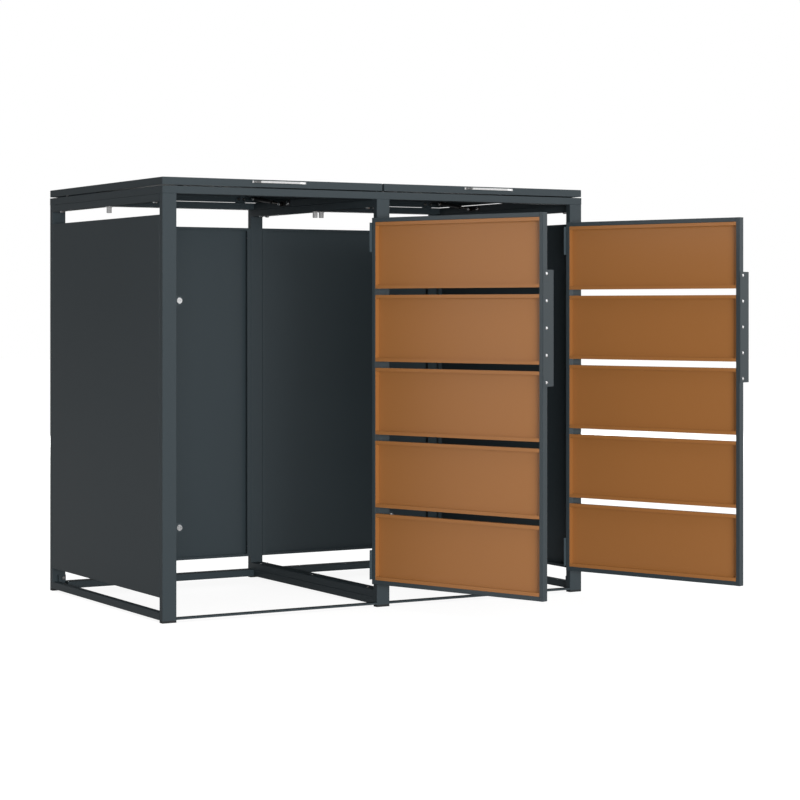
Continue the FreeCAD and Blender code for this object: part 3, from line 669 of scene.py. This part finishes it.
# %% [markdown]
# Hinge pins are closed at both ends by a small domed tip, which keeps them in their
# knuckles. The tips could be part of the pins, but they are too fine for the
# construction, so they are added to its pins. These are the thin solids of the nodes
# that hold the frame's leaves.

# %% Tips of the hinge pins
DOOR_PIN_LIMIT = 0.006
LID_PIN_LIMIT = 0.005
TIP_OVER_PIN = 1.4
TIP_HEIGHT_SHARE = 0.5
TIP_RIM_SHARE = TIP_HEIGHT_SHARE / 3


def pin_tips(node, towards, limit):
    """Seats of a domed tip at both ends of each solid in a node that is thin enough for a pin."""
    tips = []
    for corners in solids_of(node):
        thickness = sorted(numpy.ptp(corners, axis=0))[1]
        if thickness > limit:
            continue
        foot, outward, radius, length = turned_seat(corners, towards)
        wide = radius * TIP_OVER_PIN
        tip = turned((0, 0), (wide, 0), *dome(wide, wide * TIP_RIM_SHARE, 0, wide * TIP_HEIGHT_SHARE))
        tips.append((tip, foot, -outward))
        tips.append((tip, foot + outward * length, outward))
    return tips


door_tips = pin_tips("door_hinge_post_leaves", UP, DOOR_PIN_LIMIT)
seated("door_hinge_pin_tips", "hinge_paint", "frame", door_tips)
lid_tips = pin_tips("lid_hinge_frame_leaves", TO_RIGHT, LID_PIN_LIMIT)
seated("lid_hinge_pin_tips", "hinge_paint", "frame", lid_tips)

# %% [markdown]
# Every magnet stands on an angle bracket, and two low screws hold the bracket to the
# post. They lie inside the bay, beside the edge of the door. The construction has no
# heads there to copy, so the box of each bracket gives their places.

# %% Screws of the catch brackets
CATCH_SHEET = 0.002
CATCH_SCREW_IN = 0.009
CATCH_SCREW_RISE = 0.006
catch_screws = []
for corners in solids_of("catch_brackets"):
    low = corners.min(axis=0)
    middle = (low[2] + corners.max(axis=0)[2]) / 2
    for height in (middle - CATCH_SCREW_RISE, middle + CATCH_SCREW_RISE):
        foot = Vector((low[0] + CATCH_SHEET, low[1] + CATCH_SCREW_IN, height))
        catch_screws.append((low_head, foot, TO_RIGHT))
seated("catch_bracket_screws", "bolt_metal", "frame", catch_screws)

# %% [markdown]
# A gas strut ends in two eyes. The rail's pin has a domed cap in front of its eye and
# the bracket a button screw, and a domed knob closes the eye at the lid. The rod runs
# through a gland ring at the mouth of the cylinder, and into a collar at its own eye.
# The pieces could be placed in a flat strut and then tilted, but the joints already
# hold its pivot and the line of its stroke, so they are measured along that line.

# %% Ends of the gas struts
EYE_RADIUS = 0.006
EYE_GAP = 0.0003
CAP_RADIUS = 0.0058
CAP_RIM = 0.0014
CAP_HEIGHT = 0.0044
SCREW_OVER_HEAD = 1.06
ROD_ROOM = 0.0031
GLAND_RADIUS = 0.0052
GLAND_LENGTH = 0.0026
COLLAR_RADIUS = 0.0044
COLLAR_LENGTH = 0.006
RING_CHAMFER = 0.0005


def rod_ring(radius, length):
    """Ring around the rod, from z = 0 to its length, with a chamfer at its far end."""
    outside = [(radius, 0), (radius, length - RING_CHAMFER), (radius - RING_CHAMFER, length)]
    return turned((ROD_ROOM, 0), *outside, (ROD_ROOM, length), (ROD_ROOM, 0))


domed_cap = turned((0, 0), (CAP_RADIUS, 0), *dome(CAP_RADIUS, CAP_RIM, 0, CAP_HEIGHT))
caps = []
for corners in solids_of("strut_rail_brackets"):
    if numpy.ptp(corners, axis=0).max() <= SMALL_SOLID + TOUCH:
        foot, outward, radius, height = turned_seat(corners, TO_LEFT)
        over = button_head(radius * SCREW_OVER_HEAD, height * SCREW_OVER_HEAD)
        caps.append((over, foot, outward))
for side in ("left", "right"):
    rod = "strut_%s_rod" % side
    cylinder = "strut_%s_cylinder" % side
    pivot = Vector(JOINTS["strut_%s_pivot" % side]["pos_m"])
    along = Vector(JOINTS["strut_%s_stroke" % side]["axis"])
    caps.append((domed_cap, Vector((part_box(rod)[0][0] - EYE_GAP, pivot.y, pivot.z)), TO_LEFT))
    reaches = [(corner.co - pivot).dot(along) for corner in frame["nodes"][cylinder].data.vertices]
    mouth = pivot + along * min(reaches)
    far_eye = pivot + along * (max(reaches) - EYE_RADIUS)
    far_eye.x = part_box(cylinder)[0][0]
    seated("strut_%s_lid_knob" % side, "rivet_metal", cylinder, [(domed_cap, far_eye, TO_LEFT)])
    gland = [(rod_ring(GLAND_RADIUS, GLAND_LENGTH), mouth, -along)]
    seated("strut_%s_gland" % side, "strut_black", cylinder, gland)
    collar = [(rod_ring(COLLAR_RADIUS, COLLAR_LENGTH), pivot + along * EYE_RADIUS, along)]
    seated("strut_%s_collar" % side, "strut_black", rod, collar)
    print("strut %s: mouth of the cylinder %.4f m from the pivot" % (side, min(reaches)))
seated("strut_rail_caps", "rivet_metal", "frame", caps)

# %% [markdown]
# A catalogue picture of painted steel is lit by large soft boxes in a white room. One
# white world could do all of it, but then every surface would turn grey with its own
# reflections. So broad soft lights in front and behind, and a wide sky above, give the
# colours, and the two broad lights are kept out of the reflections.

# %% Lights
LIGHT_SIZE = (5.0, 1.8)
LIGHT_AIM = Vector((0.0, 0.0, 0.6))
FRONT_LIGHT_PLACE = Vector((-2.1, -8.0, 0.9))
FRONT_LIGHT_POWER = 1020.0
BACK_LIGHT_PLACE = Vector((3.2, 7.8, 1.2))
BACK_LIGHT_POWER = 900.0
SKY_STRENGTH = 1.8
SKY_WIDTH = math.radians(70)


def add_light(name, kind, power):
    """Light object, at the origin until it is moved."""
    data = bpy.data.lights.new(name, kind)
    data.energy = power
    light = bpy.data.objects.new(name, data)
    bpy.context.scene.collection.objects.link(light)
    return light


for name, place, power in (
    ("front_light", FRONT_LIGHT_PLACE, FRONT_LIGHT_POWER),
    ("back_light", BACK_LIGHT_PLACE, BACK_LIGHT_POWER),
):
    soft_box = add_light(name, "AREA", power)
    soft_box.data.shape = "RECTANGLE"
    soft_box.data.size, soft_box.data.size_y = LIGHT_SIZE
    soft_box.location = place
    soft_box.rotation_euler = (LIGHT_AIM - place).to_track_quat("-Z", "Y").to_euler()
    soft_box.visible_glossy = False
    print("%s: %.0f W" % (name, power))
sky_light = add_light("sky_light", "SUN", SKY_STRENGTH)
sky_light.data.angle = SKY_WIDTH

# %% [markdown]
# The reflections come from the room, dim and white, with four brighter parts. A bright
# wall to the left is mirrored in the trays, weaker ones in front and to the right in
# the posts and doors, and a small bright spot lights the steel grips. The walls could
# be glowing planes, but those would stand in the way when the store is seen from other
# sides, so they are parts of the world. Each is a cosine lobe: how nearly a direction
# points at its middle, raised to a power.

# %% Room
ROOM_LIGHT = 0.10
ROOM_LIGHT_SEEN = 1.0
LEFT_WALL = {"towards": (-0.97, 0.24, 0.05), "narrow": 22.0, "peak": 3.2}
FRONT_WALL = {"towards": (0.7, -0.714, 0.0), "narrow": 4.0, "peak": 0.42}
RIGHT_WALL = {"towards": (0.95, -0.30, 0.0), "narrow": 12.0, "peak": 1.5}
RIGHT_SPOT = {"towards": (0.453, -0.891, 0.0), "narrow": 60.0, "peak": 1.3}
LOBES = (LEFT_WALL, FRONT_WALL, RIGHT_WALL, RIGHT_SPOT)
WHITE = (1.0, 1.0, 1.0, 1.0)

world = bpy.data.worlds.new("room")
bpy.context.scene.world = world
world.use_nodes = True
room = Graph(world.node_tree)
outlook = room.node("TexCoord", output="Generated")
brightness = ROOM_LIGHT
for lobe in LOBES:
    towards = tuple(Vector(lobe["towards"]).normalized())
    likeness = room.node("VectorMath", {"operation": "DOT_PRODUCT"}, {0: outlook, 1: towards}, "Value")
    brightness = brightness + likeness.at_least(0.0) ** lobe["narrow"] * lobe["peak"]
lit_room = room.node("Background", {}, {"Color": WHITE, "Strength": brightness})
seen_room = room.node("Background", {}, {"Color": WHITE, "Strength": ROOM_LIGHT_SEEN})
room.feed(world.node_tree.nodes["World Output"].inputs["Surface"], room.seen_or_lit(lit_room, seen_room))
print("bright parts of the room:", len(LOBES))

# %% [markdown]
# The store stands on a white floor that runs into the background without an edge. A
# floor that only catches light would be grey under the store, so it glows a little.
# What the camera sees glows more than what lights the store from below.

# %% Floor
FLOOR_RADIUS = 30.0
FLOOR_SIDES = 96
FLOOR_DROP = 0.0005
FLOOR_GREY = (0.18, 0.18, 0.18, 1.0)
FLOOR_ROUGHNESS = 0.9
FLOOR_GLOW = 0.1
FLOOR_GREY_SEEN = (0.2, 0.2, 0.2, 1.0)
FLOOR_GLOW_SEEN = 0.9

floor_mesh = bpy.data.meshes.new("floor")
disc = bmesh.new()
bmesh.ops.create_circle(disc, cap_ends=True, segments=FLOOR_SIDES, radius=FLOOR_RADIUS)
disc.to_mesh(floor_mesh)
disc.free()
floor = bpy.data.objects.new("floor", floor_mesh)
floor.location.z = -FLOOR_DROP
bpy.context.scene.collection.objects.link(floor)
floor_finish = Finish("floor", Base_Color=FLOOR_GREY, Roughness=FLOOR_ROUGHNESS)
floor_finish.give(Emission_Color=WHITE, Emission_Strength=FLOOR_GLOW)
seen_floor = {"Base Color": FLOOR_GREY_SEEN, "Roughness": 1.0, "Specular IOR Level": 0.0}
seen_floor.update({"Emission Color": WHITE, "Emission Strength": FLOOR_GLOW_SEEN})
seen = floor_finish.node("BsdfPrincipled", {}, seen_floor)
lit = Wire(floor_finish, floor_finish.shader.outputs[0])
surface = floor_finish.tree.nodes["Material Output"].inputs["Surface"]
floor_finish.feed(surface, floor_finish.seen_or_lit(lit, seen))
floor_mesh.materials.append(floor_finish.material)
print("floor: %.0f m across" % (2 * FLOOR_RADIUS))
